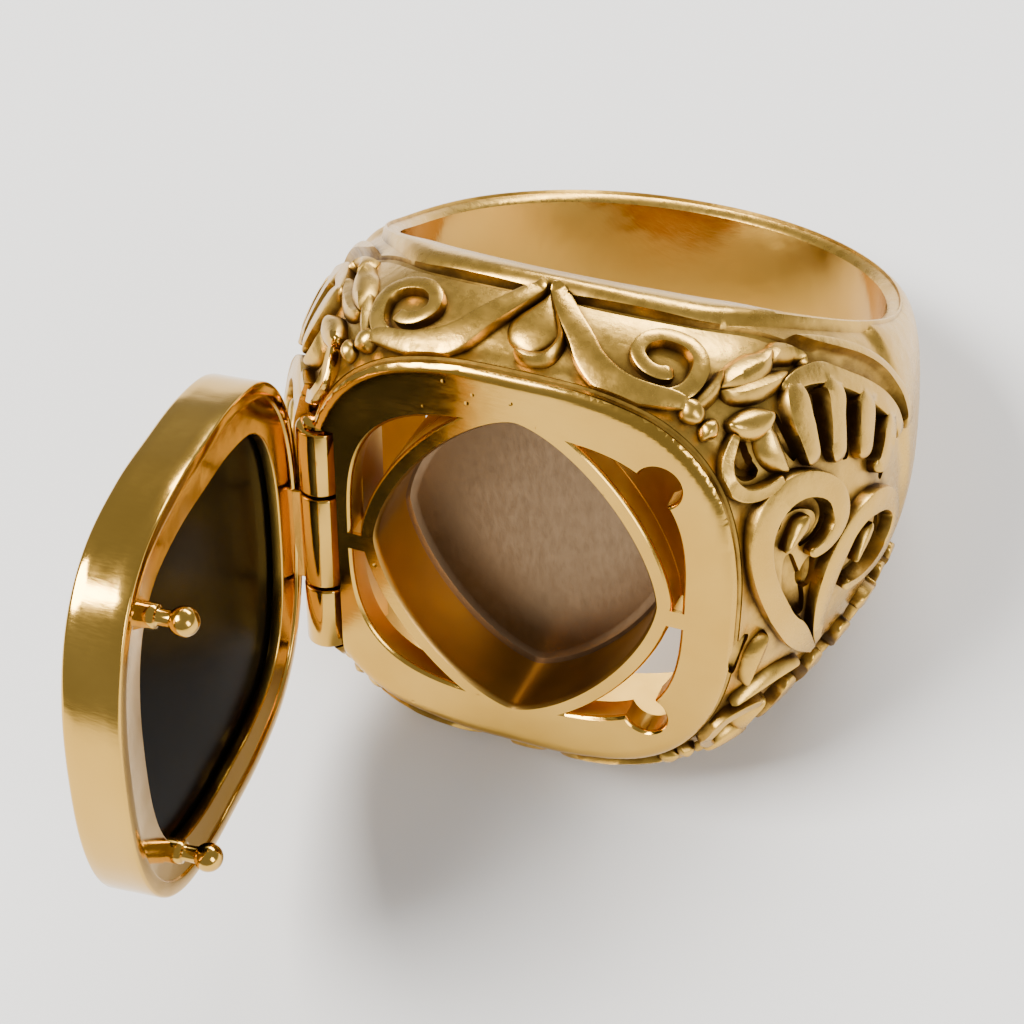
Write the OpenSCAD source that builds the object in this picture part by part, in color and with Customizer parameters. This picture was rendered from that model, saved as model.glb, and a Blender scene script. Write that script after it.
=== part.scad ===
/* [Finger hole] */
// Inside diameter of the ring
finger_d = 19.2; // [15:0.1:22]
// Width of the bare land round the edge of the finger hole
rim_land = 0.45; // [0.3:0.05:0.8]

/* [Shank] */
// Width of the shank at the back of the finger
shank_w = 4.8; // [3:0.1:8]
// Thickness of the shank at the back of the finger
shank_t = 1.5; // [1:0.1:2.5]

/* [Head] */
// Width of the flat face, across the finger
face_w = 16.1; // [14:0.1:18]
// Height of the flat face, along the finger
face_h = 16.0; // [14:0.1:18]
// Distance from the middle of the finger to the flat face
face_set = 14.4; // [13.6:0.1:16]
// Thickness of the domed wall of the head
wall_t = 1.1; // [0.8:0.1:1.5]
// Thickness of the head's wall at the edge of the finger hole
edge_t = 1.9; // [1.4:0.1:2.4]
// Thickness of the face plate
plate_t = 1.0; // [0.8:0.1:1.4]
// Width of the flat frame left and right of the corner openings
frame_w = 1.75; // [1.4:0.05:2.2]
// Width of the flat frame above and below the corner openings
frame_end_w = 1.9; // [1.5:0.05:2.3]
// Radius of the catch notches in the two corners away from the hinge
notch_r = 0.8; // [0.7:0.05:1]
// Height that the cast ornament stands proud
relief_h = 0.45; // [0.25:0.05:0.6]
// Width of the ornament's bands
band_w = 1.4; // [1.1:0.05:1.5]

/* [Compartment] */
// Inside width of the compartment, across the finger
cup_w = 10.6; // [8:0.1:11]
// Inside height of the compartment, along the finger
cup_h = 12.7; // [10:0.1:13]
// Depth of the compartment below the face
cup_deep = 3.0; // [2:0.1:3.2]
// Thickness of the compartment's wall
cup_wall = 0.7; // [0.5:0.05:0.9]
// Thickness of the compartment's floor
floor_t = 0.7; // [0.5:0.05:0.9]

/* [Lid] */
// Thickness of the lid
lid_t = 1.95; // [1.7:0.05:2.6]
// Thickness of the bezel wall round the stone
bezel_t = 0.55; // [0.4:0.05:0.8]
// Width of the ledge that carries the stone, measured from the rim
ledge_w = 1.85; // [1.5:0.05:2.4]
// Step from the rim down to the ledge
ledge_step = 0.12; // [0.05:0.01:0.2]
// Thickness of the ledge
ledge_t = 0.45; // [0.35:0.05:0.7]
// Height that the middle of the stone stands above the bezel
stone_rise = 0.25; // [0:0.05:0.6]
// Width of the stone's sloping edge
stone_slope = 1.15; // [0.8:0.05:1.5]
// Diameter of the balls on the two catch pins
ball_d = 1.0; // [0.8:0.05:1.1]
// Height of the ball's middle above the closing face
ball_set = 1.2; // [0.9:0.05:1.4]
// Diameter of the catch posts
post_d = 0.55; // [0.4:0.05:0.7]
// Diameter of the collars at the foot of the catch posts
collar_d = 0.85; // [0.75:0.05:1]
// Height of the collars
collar_h = 0.35; // [0.2:0.05:0.5]

/* [Hinge] */
// Diameter of the hinge barrel
barrel_d = 1.7; // [1.5:0.05:1.9]
// Length of the hinge barrel
barrel_l = 9.8; // [8:0.1:10.4]
// How far the barrel's middle lies below the middle of the face
barrel_drop = 1.0; // [0:0.1:1.2]
// Length of each of the barrel's two outer knuckles
knuckle_l = 2.8; // [2.4:0.05:3.1]
// Depth of the hinge axis behind the face
hinge_in = 0.9; // [0.9:0.05:1.1]
// Distance of the hinge axis inside the edge of the face
hinge_edge = 0.25; // [0.2:0.05:0.3]
// Thickness of the lid's hinge leaf
leaf_t = 0.6; // [0.5:0.05:0.7]
// Diameter of the hinge pin
pin_d = 0.7; // [0.5:0.05:0.8]
// Diameter of the hinge pin's head
pin_head_d = 1.2; // [1:0.05:1.3]
// Thickness of the hinge pin's head
pin_head_t = 0.25; // [0.2:0.05:0.35]
// Angle that the lid stands open
open_deg = 84; // [0:1:90]

/* [Hidden] */

run_gap = 0.05;          // running clearance of the pin in its knuckles, on the radius
knuckle_gap = 0.08;      // gap between the ends of two knuckles
seat_gap = 0.12;         // gap round the lid's knuckle and leaf where they turn in the body
close_gap = 0.06;        // gap between the closed lid and the face
stone_gap = 0.05;        // gap between the stone and its setting
head_gap = 0.03;         // gap under the hinge pin's head and at its foot
bed_t = 0.7;             // metal beside the hinge barrel, towards the compartment
clear = 4;               // how far a cut runs on past the metal
rib_root = 0.3;          // depth to which the ornament sinks into the dome
groove_top = 0.15;       // height above the dome from which a groove is cut
notch_in = 1.1;          // middle of a catch notch, inside the frame at the side
notch_drop = 1.0;        // middle of a catch notch, inside the frame at its end
eps = 0.02;

finger_r = finger_d / 2;
rim_r = finger_r + rim_land;
shank_r = finger_r + shank_t;
barrel_r = barrel_d / 2;
hinge_x = face_w / 2 - hinge_edge;
hinge_y = face_set - hinge_in;

// Sections round the finger. Columns: angle from the middle of the face, width (0 is the shank's, 1 the
// head's), reach (0 is the shank's, 1 the full dome's) and fullness of the dome's curve.
SECTIONS = [
    [  0, 1.00, 0.97, 2.20],
    [ 10, 0.99, 0.98, 2.30],
    [ 20, 0.96, 1.00, 2.40],
    [ 28, 0.92, 0.93, 2.45],
    [ 36, 0.87, 0.80, 2.25],
    [ 44, 0.80, 0.68, 1.95],
    [ 55, 0.69, 0.54, 1.70],
    [ 70, 0.53, 0.29, 1.70],
    [ 90, 0.33, 0.07, 1.90],
    [120, 0.15, 0.01, 2.20],
    [150, 0.04, 0.00, 2.30],
    [180, 0.00, 0.00, 2.30]
];

// A column of the table at any angle, as one smooth curve through its rows
function slope(k, i) = i <= 0 || i >= len(SECTIONS) - 1 ? 0
    : (step_slope(k, i - 1) + step_slope(k, i)) / 2;
function step_slope(k, i) = (SECTIONS[i + 1][k] - SECTIONS[i][k]) / (SECTIONS[i + 1][0] - SECTIONS[i][0]);
function row_below(a) = max([for (i = [0 : len(SECTIONS) - 2]) if (SECTIONS[i][0] <= a) i]);
function column(a, k) = let (
        i = row_below(abs(a)), s = SECTIONS[i], e = SECTIONS[i + 1],
        h = e[0] - s[0], t = (abs(a) - s[0]) / h)
    (2 * t * t * t - 3 * t * t + 1) * s[k] + (t * t * t - 2 * t * t + t) * h * slope(k, i)
    + (3 * t * t - 2 * t * t * t) * e[k] + (t * t * t - t * t) * h * slope(k, i + 1);

// The dome's full reach and the head's half width, so that the flat face comes out at its size
face_end = atan2(face_w / 2, face_set);
dome_r = shank_r + (norm([face_w / 2, face_set]) - shank_r) / column(face_end, 2);
mid_r = shank_r + column(0, 2) * (dome_r - shank_r);
head_half = face_h / 2 / pow(1 - pow((face_set - rim_r) / (mid_r - rim_r), column(0, 3)), 1 / column(0, 3));

function half_w(a) = shank_w / 2 + column(a, 1) * (head_half - shank_w / 2);
function reach(a) = shank_r + column(a, 2) * (dome_r - shank_r);
function fullness(a) = column(a, 3);

// A point on the dome: a is the angle round the finger, t goes from -90 at the lower edge of the
// finger hole over 0 in the middle to 90 at the upper edge, and sink moves it inward
function skin(a, t, sink = 0) = let (
        n = fullness(a),
        r = rim_r + (reach(a) - sink - rim_r) * pow(abs(cos(t)), 2 / n),
        z = (half_w(a) - sink) * sign(t) * pow(abs(sin(t)), 2 / n))
    [r * sin(a), -r * cos(a), z];
function unit(v) = v / max(norm(v), 1e-9);
function skin_normal(a, t) = unit(cross(skin(a + 0.5, t) - skin(a - 0.5, t), skin(a, t + 0.5) - skin(a, t - 0.5)));

// Outline of the flat face, where the dome meets it
function face_edge(a) = let (n = fullness(a), k = (face_set / cos(a) - rim_r) / (reach(a) - rim_r))
    half_w(a) * pow(max(0, 1 - pow(k, n)), 1 / n);
face_turns = [for (i = [0 : 16]) face_end * sin(i * 90 / 16)];
face_top = [for (a = face_turns) [face_set * tan(a), a == face_turns[16] ? 0 : face_edge(a)]];
face_outline = concat(
    [for (i = [0 : 16]) face_top[i]],
    [for (i = [15 : -1 : 0]) [face_top[i][0], -face_top[i][1]]],
    [for (i = [1 : 16]) [-face_top[i][0], -face_top[i][1]]],
    [for (i = [15 : -1 : 1]) [-face_top[i][0], face_top[i][1]]]);

function rounded(w, h, n, steps = 64) = [for (i = [0 : steps - 1]) let (
        c = cos(i * 360 / steps), s = sin(i * 360 / steps))
    [w / 2 * sign(c) * pow(abs(c), 2 / n), h / 2 * sign(s) * pow(abs(s), 2 / n)]];

// Lays a drawing of the face, seen from the front, down at a depth behind the face plane
module behind_face(depth, thick) {
    translate([0, -face_set + depth + thick, 0]) rotate([90, 0, 0]) linear_extrude(thick) children();
}

/* The casting */
function loft_faces(rings, points) = concat(
    [for (i = [0 : rings - 2], j = [0 : points - 1]) let (k = (j + 1) % points)
        [i * points + j, i * points + k, (i + 1) * points + k]],
    [for (i = [0 : rings - 2], j = [0 : points - 1]) let (k = (j + 1) % points)
        [i * points + j, (i + 1) * points + k, (i + 1) * points + j]],
    [[for (j = [points - 1 : -1 : 0]) j], [for (j = [0 : points - 1]) (rings - 1) * points + j]]);

dome_turns = concat([for (a = [-180 : 12 : -84]) a], [for (a = [-77 : 7 : 80]) a], [for (a = [84 : 12 : 170]) a]);
dome_rise = [for (t = [-90 : 10 : 90]) t];

module dome() {
    cols = len(dome_turns);
    rows = len(dome_rise);
    inner = finger_r - 0.8;
    ring = [for (a = dome_turns) concat(
        [[inner * sin(a), -inner * cos(a), -half_w(a) + 0.1]],
        [for (t = dome_rise) skin(a, t)],
        [[inner * sin(a), -inner * cos(a), half_w(a) - 0.1]])];
    n = rows + 2;
    polyhedron(convexity = 6,
        points = [for (r = ring, p = r) p],
        faces = concat(
            [for (i = [0 : cols - 1], j = [0 : n - 1]) let (i2 = (i + 1) % cols, j2 = (j + 1) % n)
                [i * n + j, i * n + j2, i2 * n + j2]],
            [for (i = [0 : cols - 1], j = [0 : n - 1]) let (i2 = (i + 1) % cols, j2 = (j + 1) % n)
                [i * n + j, i2 * n + j2, i2 * n + j]]));
}

// The hollow of the head: open to the finger, closed by the face plate in front
hollow_end = 42;      // the hollow ends where the shoulders begin
module hollow() {
    cols = 17;
    rise = [for (t = [-90 : 10 : 90]) t];
    n = len(rise) + 2;
    ring = [for (i = [0 : cols - 1]) let (a = hollow_end * (2 * i / (cols - 1) - 1), inner = finger_r - 1.5) concat(
        [[inner * sin(a), -inner * cos(a), -half_w(a) + wall_t]],
        [for (t = rise) skin(a, t, wall_t)],
        [[inner * sin(a), -inner * cos(a), half_w(a) - wall_t]])];
    intersection() {
        polyhedron(points = [for (r = ring, p = r) p], faces = loft_faces(cols, n), convexity = 6);
        translate([-face_w, -face_set + plate_t, -head_half + edge_t]) cube([2 * face_w, face_set, 2 * (head_half - edge_t)]);
    }
}

// A raised or sunk strip that follows a path on the dome. Path columns: angle round the finger, rise
// on the dome, width as a share of band_w.
function eased(path, s) = let (
        i = min(floor(s), len(path) - 2), f = s - i,
        a = path[max(i - 1, 0)], b = path[i], c = path[i + 1], d = path[min(i + 2, len(path) - 1)])
    b + f * ((c - a) / 2 + f * ((a - 2.5 * b + 2 * c - d / 2) + f * (1.5 * b - 1.5 * c + (d - a) / 2)));
// Cross sections of the ornament. Columns: share of the half width, height above the dome.
BAND = [[-1, -rib_root], [-0.65, relief_h], [0.65, relief_h], [1, -rib_root]];
RIDGE = [[-1, -rib_root], [0, relief_h], [1, -rib_root]];
GROOVE = [[-1, groove_top], [1, groove_top], [0, -relief_h / 2]];
module rib(path, steps, section = BAND) {
    line = [for (k = [0 : steps]) eased(path, k * (len(path) - 1) / steps)];
    ring = [for (k = [0 : steps]) let (
            p = line[k], a = line[max(k - 1, 0)], b = line[min(k + 1, steps)],
            at = skin(p[0], p[1]), up = skin_normal(p[0], p[1]),
            side = unit(cross(up, skin(b[0], b[1]) - skin(a[0], a[1]))) * p[2] * band_w / 2)
        for (q = section) at + q[0] * side + q[1] * up];
    polyhedron(points = ring, faces = loft_faces(steps + 1, len(section)), convexity = 4);
}

// Mirrors the ornament to both sides of the head, and to its lower half
module both_sides() { children(); mirror([1, 0, 0]) children(); }
module both_halves() { children(); mirror([0, 0, 1]) children(); }

// Ornament. Columns: angle round the finger, rise on the dome, width as a share of band_w.
TEAR = [[1, 81.5, 0.2], [1, 76, 0.7], [1, 70, 1.15], [1, 65, 1.15], [1, 61.5, 0.55]];
BAR = [[2.6, 84, 0.35], [6, 76, 0.7], [8.5, 67.5, 0.8], [11.5, 59, 0.85], [15.5, 55, 0.8], [20.5, 54.5, 0.65],
    [23.4, 51.5, 0.65], [24.6, 47.5, 0.7]];
SCROLL = [[17.5, 56.8, 0.35], [21, 56.8, 0.45], [24, 59.5, 0.5], [26, 66, 0.5], [25, 73, 0.45], [21, 76, 0.45],
    [17.5, 73.5, 0.45], [16.4, 69, 0.45], [17.6, 65, 0.45], [19.8, 63, 0.4], [22, 63.6, 0.3]];
STEM = [[28.8, 66, 0.35], [27.4, 60, 0.55], [24.4, 53.5, 0.5]];
WING = [[28.2, 58.5, 0.45], [31, 60.5, 1.05], [35, 63, 1.2], [39, 66, 0.95], [43, 69, 0.5]];
WING_TIP = [[34.5, 66, 0.35], [37.5, 70, 0.5], [41.5, 73, 0.45]];
TULIP = [[29, 45, 0.3], [26.9, 39, 0.3], [27, 33, 0.3], [29.2, 29, 0.35], [33, 29.4, 0.35], [35.4, 33.5, 0.35], [34, 41, 0.35], [30, 45, 0.3]];
PETALS = [
    [[34.6, 48, 0.35], [36, 40.5, 0.45], [38.4, 33.5, 0.35]],
    [[42.0, 57, 0.55], [41.2, 47, 0.55], [42.2, 36, 0.5]],
    [[51.5, 57, 0.55], [48.6, 47, 0.55], [47.6, 35, 0.5]],
    [[59.5, 48, 0.55], [55.2, 41, 0.55], [53.6, 32, 0.5]],
    [[65.0, 35, 0.55], [60.5, 30, 0.55], [57.5, 27, 0.45]]
];
FAN_EDGE = [[40.5, 57, 0.5], [46, 61.5, 0.7], [52, 60, 0.8], [58.5, 53, 0.8], [64, 43, 0.8], [66.6, 33, 0.65]];
BORDER = [[4, 84.6, 0.35], [15, 84.8, 0.35], [26, 84.8, 0.35], [34, 83, 0.35], [39, 80, 0.35], [43.5, 75, 0.4], [50, 69.3, 0.45],
    [57, 65, 0.5], [63, 58.5, 0.55], [67.6, 49, 0.55], [69.6, 39, 0.5], [69, 31, 0.35]];
VOLUTE_NEAR = [[44.5, -24.5, 0.3], [42, -12.5, 0.85], [38, -4.5, 1], [34.7, 3, 0.95], [33.2, 9, 0.95], [32.8, 15, 1],
    [33.9, 21.5, 1.05], [37, 27, 1], [41.5, 28.6, 0.95], [45.7, 25.8, 0.95], [46.9, 20, 0.8], [45, 14.6, 0.65], [41, 11.4, 0.35]];
VOLUTE_FAR = [[44.6, -24.5, 0.3], [44.2, -13, 0.5], [44.4, -4, 0.7], [45.8, 4, 0.8], [48, 11, 0.8], [51.2, 16.5, 0.8],
    [55.5, 19, 0.85], [60, 15.5, 0.8], [61.8, 7, 0.7], [60, -1, 0.65], [56.6, -6, 0.55], [49.5, -7, 0.35]];
CURLS = [[[40.8, 20.8, 0.55], [39, 17.3, 0.8], [37.2, 13.8, 0.5]], [[54.4, 11.8, 0.35], [52.8, 7.5, 0.45], [51.3, 3.5, 0.3]]];
LEAVES = [[[35.2, -5, 0.45], [34.4, -10, 0.65], [33.2, -17, 0.35]], [[42.8, -27, 0.45], [38.4, -23.6, 0.5], [31.5, -24, 0.45]]];

module ornament() {
    both_halves() {
        rib(TEAR, 4);
        both_sides() {
            rib(BAR, 8);
            rib(SCROLL, 15, RIDGE);
            rib(STEM, 3, RIDGE);
            rib(WING, 4);
            rib(WING_TIP, 2, RIDGE);
            rib(TULIP, 9, RIDGE);
            for (p = PETALS) rib(p, 2);
            rib(FAN_EDGE, 6);
        }
    }
    both_sides() {
        rib(VOLUTE_NEAR, 20);
        rib(VOLUTE_FAR, 15);
        for (p = CURLS) rib(p, 2);
        for (p = LEAVES) rib(p, 2, RIDGE);
    }
}
module border_grooves() {
    both_halves() both_sides() rib(BORDER, 12, GROOVE);
}

// The four corner openings of the face plate, between its frame and the compartment's wall
neck_h = 0.7;
neck_drop = 0.35;
lip_step = 0.03;         // the openings trim the compartment's wall by this much
module corner_openings() {
    difference() {
        polygon(rounded(face_w - 2 * frame_w, face_h - 2 * frame_end_w, 3.2));
        offset(delta = cup_wall - lip_step) polygon(rounded(cup_w, cup_h, 1.52));
        translate([-face_w / 2, -neck_drop - neck_h / 2]) square([face_w, neck_h]);
    }
}
notch_x = face_w / 2 - frame_w - notch_in;
notch_z = face_h / 2 - frame_end_w - notch_drop;
module catch_notches() {
    for (s = [-1, 1]) translate([notch_x, s * notch_z]) circle(notch_r, $fn = 40);
}

module compartment() {
    behind_face(0, cup_deep + floor_t) offset(delta = cup_wall) polygon(rounded(cup_w, cup_h, 1.52));
}
module compartment_space() {
    behind_face(-1, cup_deep + 1) polygon(rounded(cup_w, cup_h, 1.52));
}

// Hinge: the body has the outer two knuckles, the lid the middle one
barrel_top = barrel_l / 2 - barrel_drop;
barrel_low = barrel_top - barrel_l;
pin_head_r = pin_head_d / 2;
pin_top = barrel_top + head_gap + pin_head_t;
module on_hinge(from, to) { translate([-hinge_x, -hinge_y, from]) linear_extrude(to - from) children(); }
module pin_bore() { on_hinge(barrel_low - head_gap, pin_top + seat_gap) circle(pin_d / 2 + run_gap, $fn = 48); }

// Straight part of the lid's edge, which swings past the shoulder of the head
lid_edge_h = 0.68 * face_h;

// Metal behind the hinge, which the knuckles are soldered to
module hinge_bed() {
    translate([-hinge_x - clear, -hinge_y - hinge_in + eps, barrel_low])
        cube([clear + barrel_r + bed_t, hinge_in + barrel_r + wall_t, barrel_l]);
}
module hinge_seat() {
    // the front half of the barrel stands free
    on_hinge(barrel_low - seat_gap, pin_top + seat_gap)
        translate([-clear, -clear]) square([clear + barrel_r + seat_gap, clear]);
    // room for the lid's edge as it swings round to the side
    translate([-hinge_x - barrel_r / 2 - clear, -hinge_y - clear, -lid_edge_h / 2])
        cube([clear, clear + barrel_r / 2, lid_edge_h]);
    // room for the head of the hinge pin
    on_hinge(barrel_top, pin_top + seat_gap) circle(pin_head_r + seat_gap, $fn = 36);
    // room for the lid's knuckle
    on_hinge(barrel_low + knuckle_l, barrel_top - knuckle_l) circle(barrel_r + seat_gap, $fn = 36);
}
module body_knuckles() {
    on_hinge(barrel_low, barrel_low + knuckle_l - knuckle_gap) circle(barrel_r, $fn = 36);
    on_hinge(barrel_top - knuckle_l + knuckle_gap, barrel_top) circle(barrel_r, $fn = 36);
}

// Everything behind the plane of the face
module behind_plane() { translate([-2 * dome_r, -face_set, -2 * dome_r]) cube(4 * dome_r); }

module casting() {
    difference() {
        union() {
            difference() {
                intersection() {
                    union() { dome(); ornament(); }
                    behind_plane();
                }
                border_grooves();
                difference() { hollow(); hinge_bed(); }
            }
            intersection() { compartment(); behind_plane(); }
        }
        compartment_space();
        behind_face(-1, 1 + plate_t + eps) { corner_openings(); catch_notches(); }
        hinge_seat();
    }
    body_knuckles();
}

module ring_body() {
    color("goldenrod") at_rest() difference() {
        resize([0, 0, 0]) casting();
        cylinder(r = finger_r, h = 3 * head_half, center = true, $fn = 120);
        pin_bore();
    }
}

/* The lid, drawn closed and swung open about the hinge */
module swung() {
    translate([-hinge_x, -hinge_y, 0]) rotate([0, 0, -open_deg]) translate([hinge_x, hinge_y, 0]) children();
}
module lid_layer(depth, thick) {
    translate([0, -face_set - close_gap - depth, 0]) rotate([90, 0, 0]) linear_extrude(thick) children();
}
module lid_outline(inset) { offset(delta = -inset) polygon(face_outline); }

module catch_pin(side) {
    translate([notch_x, -face_set - close_gap, side * notch_z]) rotate([-90, 0, 0]) {
        translate([0, 0, -ledge_step - ledge_t / 2]) cylinder(d = post_d, h = ball_set + ledge_step + ledge_t / 2, $fn = 24);
        translate([0, 0, -ledge_step - ledge_t / 2]) cylinder(d = collar_d, h = collar_h + ledge_t / 2, $fn = 24);
        translate([0, 0, ball_set]) sphere(d = ball_d, $fn = 24);
    }
}
module lid_bezel() {
    leaf_top = barrel_top - knuckle_l - knuckle_gap;
    leaf_low = barrel_low + knuckle_l + knuckle_gap;
    color("gold") at_rest() swung() difference() {
        union() {
            lid_layer(0, lid_t) difference() { lid_outline(0); lid_outline(bezel_t); }
            lid_layer(ledge_step, ledge_t) difference() { lid_outline(bezel_t / 2); lid_outline(ledge_w); }
            for (s = [-1, 1]) catch_pin(s);
            on_hinge(leaf_low, leaf_top) circle(barrel_r, $fn = 36);
            translate([-face_w / 2 + eps, -face_set - close_gap - ledge_step - ledge_t / 2, leaf_low])
                cube([leaf_t, hinge_in + close_gap + ledge_step + ledge_t / 2 - pin_d / 2 - 2 * run_gap, leaf_top - leaf_low]);
        }
        pin_bore();
    }
}
module onyx_plaque() {
    seat = ledge_step + ledge_t + stone_gap;
    color("black") at_rest() swung() {
        hull() {
            lid_layer(seat, lid_t - seat - 2 * stone_gap) lid_outline(bezel_t + stone_gap);
            lid_layer(seat, lid_t - seat + stone_rise) lid_outline(bezel_t + stone_gap + stone_slope);
        }
    }
}
module hinge_pin() {
    color("khaki") at_rest() {
        on_hinge(barrel_low, pin_top - eps) circle(pin_d / 2, $fn = 48);
        on_hinge(barrel_top + head_gap, pin_top) circle(pin_head_r, $fn = 48);
    }
}

// The ring lies on its side: the lower edge of the head and the back of the shank touch the table
front_low = concat([[0, -finger_r, -half_w(0) + 0.04]], [for (t = [60 : 3 : 90]) skin(0, -t)]);
back_low = [for (t = [45 : 3 : 90]) skin(180, -t)];
rest_tilt = min([for (b = back_low) max([for (f = front_low) atan2(b[2] - f[2], b[1] - f[1])])]);
module at_rest() { rotate([-rest_tilt, 0, 0]) children(); }

ring_body();
lid_bezel();
onyx_plaque();
hinge_pin();
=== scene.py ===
from math import atan2, cos, degrees, pi, radians, sin

import bmesh
import bpy
import numpy as np
from mathutils import Matrix, Vector


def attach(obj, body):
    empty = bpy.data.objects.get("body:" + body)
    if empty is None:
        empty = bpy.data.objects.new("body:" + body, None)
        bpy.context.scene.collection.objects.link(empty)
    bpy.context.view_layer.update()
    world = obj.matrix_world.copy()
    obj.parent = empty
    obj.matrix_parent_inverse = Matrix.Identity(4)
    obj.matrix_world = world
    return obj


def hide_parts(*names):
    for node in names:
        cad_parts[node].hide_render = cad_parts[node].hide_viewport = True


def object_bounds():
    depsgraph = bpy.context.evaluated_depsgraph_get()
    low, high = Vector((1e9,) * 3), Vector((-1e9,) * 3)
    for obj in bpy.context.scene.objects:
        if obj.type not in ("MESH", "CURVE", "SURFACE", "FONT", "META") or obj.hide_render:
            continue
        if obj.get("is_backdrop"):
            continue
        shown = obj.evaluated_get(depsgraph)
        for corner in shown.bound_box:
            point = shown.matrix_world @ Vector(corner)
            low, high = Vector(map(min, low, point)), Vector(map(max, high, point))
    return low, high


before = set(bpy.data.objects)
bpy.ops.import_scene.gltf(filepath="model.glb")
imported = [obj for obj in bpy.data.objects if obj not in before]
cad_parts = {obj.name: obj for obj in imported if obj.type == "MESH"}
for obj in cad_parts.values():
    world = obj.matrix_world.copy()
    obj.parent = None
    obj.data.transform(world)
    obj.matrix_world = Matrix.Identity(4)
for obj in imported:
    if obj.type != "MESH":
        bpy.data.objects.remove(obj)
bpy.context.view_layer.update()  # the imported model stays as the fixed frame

# Sizes shared by the pieces, in millimetres, in the ring's own frame:
# Z along the finger, the face towards -Y, the hinge on the -X side.
ringSizes = {
    "fingerRadius": 9.6,
    "rimLand": 0.45,  # width of the flat edge round the finger hole
    "shankWidth": 4.8,
    "shankThick": 1.5,
    "faceWidth": 16.1,
    "faceHeight": 16.0,
    "faceSet": 14.4,  # finger's centre to the face plane
}
# Angle round the finger, width share, reach share, fullness of the dome's curve
domeSections = np.array([
    [0, 1.00, 0.97, 2.20], [10, 0.99, 0.98, 2.30], [20, 0.96, 1.00, 2.40],
    [28, 0.92, 0.93, 2.45], [36, 0.87, 0.80, 2.25], [44, 0.80, 0.68, 1.95],
    [55, 0.69, 0.54, 1.70], [70, 0.53, 0.29, 1.70], [90, 0.33, 0.07, 1.90],
    [120, 0.15, 0.01, 2.20], [150, 0.04, 0.00, 2.30], [180, 0.00, 0.00, 2.30],
])
sectionColumns = {"width": 1, "reach": 2, "fullness": 3}
faceWidth, faceHeight, faceSet = (ringSizes[key] for key in ("faceWidth", "faceHeight", "faceSet"))
fingerRadius = ringSizes["fingerRadius"]
rimRadius = fingerRadius + ringSizes["rimLand"]
shankRadius = fingerRadius + ringSizes["shankThick"]
fineSteps = 1500  # samples where a curve is searched for a crossing
loopPoints = 220  # points of the loops drawn on the face

# The ring lies tilted on the table: the finger hole's axis there, from the part's own sizes
holeAxis = (0, 0.35331, 0.93551)
lieDown = Matrix.Rotation(-atan2(holeAxis[1], holeAxis[2]), 4, "X")
toMetres = 0.001
toRest = lieDown @ Matrix.Scale(toMetres, 4)


def sectionAt(angle, name):
    # one smooth curve through a column of the table
    turns, values = domeSections[:, 0], domeSections[:, sectionColumns[name]]
    steps = np.diff(values) / np.diff(turns)
    slopes = np.concatenate([[0], (steps[:-1] + steps[1:]) / 2, [0]])
    a = np.abs(np.asarray(angle, float))
    i = np.clip(np.searchsorted(turns, a, side="right") - 1, 0, len(turns) - 2)
    h = turns[i + 1] - turns[i]
    t = (a - turns[i]) / h
    return ((2 * t**3 - 3 * t**2 + 1) * values[i] + (t**3 - 2 * t**2 + t) * h * slopes[i]
            + (3 * t**2 - 2 * t**3) * values[i + 1] + (t**3 - t**2) * h * slopes[i + 1])


faceEnd = degrees(atan2(faceWidth / 2, faceSet))
faceCorner = np.hypot(faceWidth / 2, faceSet)
domeRadius = shankRadius + (faceCorner - shankRadius) / sectionAt(faceEnd, "reach")
middleRadius = shankRadius + sectionAt(0, "reach") * (domeRadius - shankRadius)
frontShare = (faceSet - rimRadius) / (middleRadius - rimRadius)
frontFullness = sectionAt(0, "fullness")
headHalf = float(faceHeight / 2 / (1 - frontShare ** frontFullness) ** (1 / frontFullness))


def halfWidth(angle):
    shankHalf = ringSizes["shankWidth"] / 2
    return shankHalf + sectionAt(angle, "width") * (headHalf - shankHalf)


def reach(angle):
    return shankRadius + sectionAt(angle, "reach") * (domeRadius - shankRadius)


def roundFinger(radius, angle, z):
    # points at an angle in degrees round the finger; the face is at 0
    a = np.radians(angle)
    return np.stack(np.broadcast_arrays(radius * np.sin(a), -radius * np.cos(a), z), axis=-1)


def nearest(x):
    return np.rint(x).astype(int)


def domePoint(angle, rise, sink=0.0):
    # rise goes from -90 at the lower edge of the finger hole to 90 at the upper edge
    power = 2 / sectionAt(angle, "fullness")
    t = np.radians(rise)
    r = rimRadius + (reach(angle) - sink - rimRadius) * np.abs(np.cos(t)) ** power
    z = (halfWidth(angle) - sink) * np.sign(t) * np.abs(np.sin(t)) ** power
    return roundFinger(r, angle, z)


def domeNormal(angle, rise, step=0.4, nearPole=89.9):
    up = np.clip(rise + step, -nearPole, nearPole)
    down = np.clip(rise - step, -nearPole, nearPole)
    n = np.cross(domePoint(angle + step, rise) - domePoint(angle - step, rise),
                 domePoint(angle, up) - domePoint(angle, down))
    return n / np.linalg.norm(n, axis=-1, keepdims=True)


def lengthAlong(points):
    # the way covered from the first point to each point
    steps = np.linalg.norm(np.diff(points, axis=0), axis=1)
    return np.concatenate([[0], np.cumsum(steps)])


def smoothStep(x):
    x = np.clip(x, 0, 1)
    return x * x * (3 - 2 * x)


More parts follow.
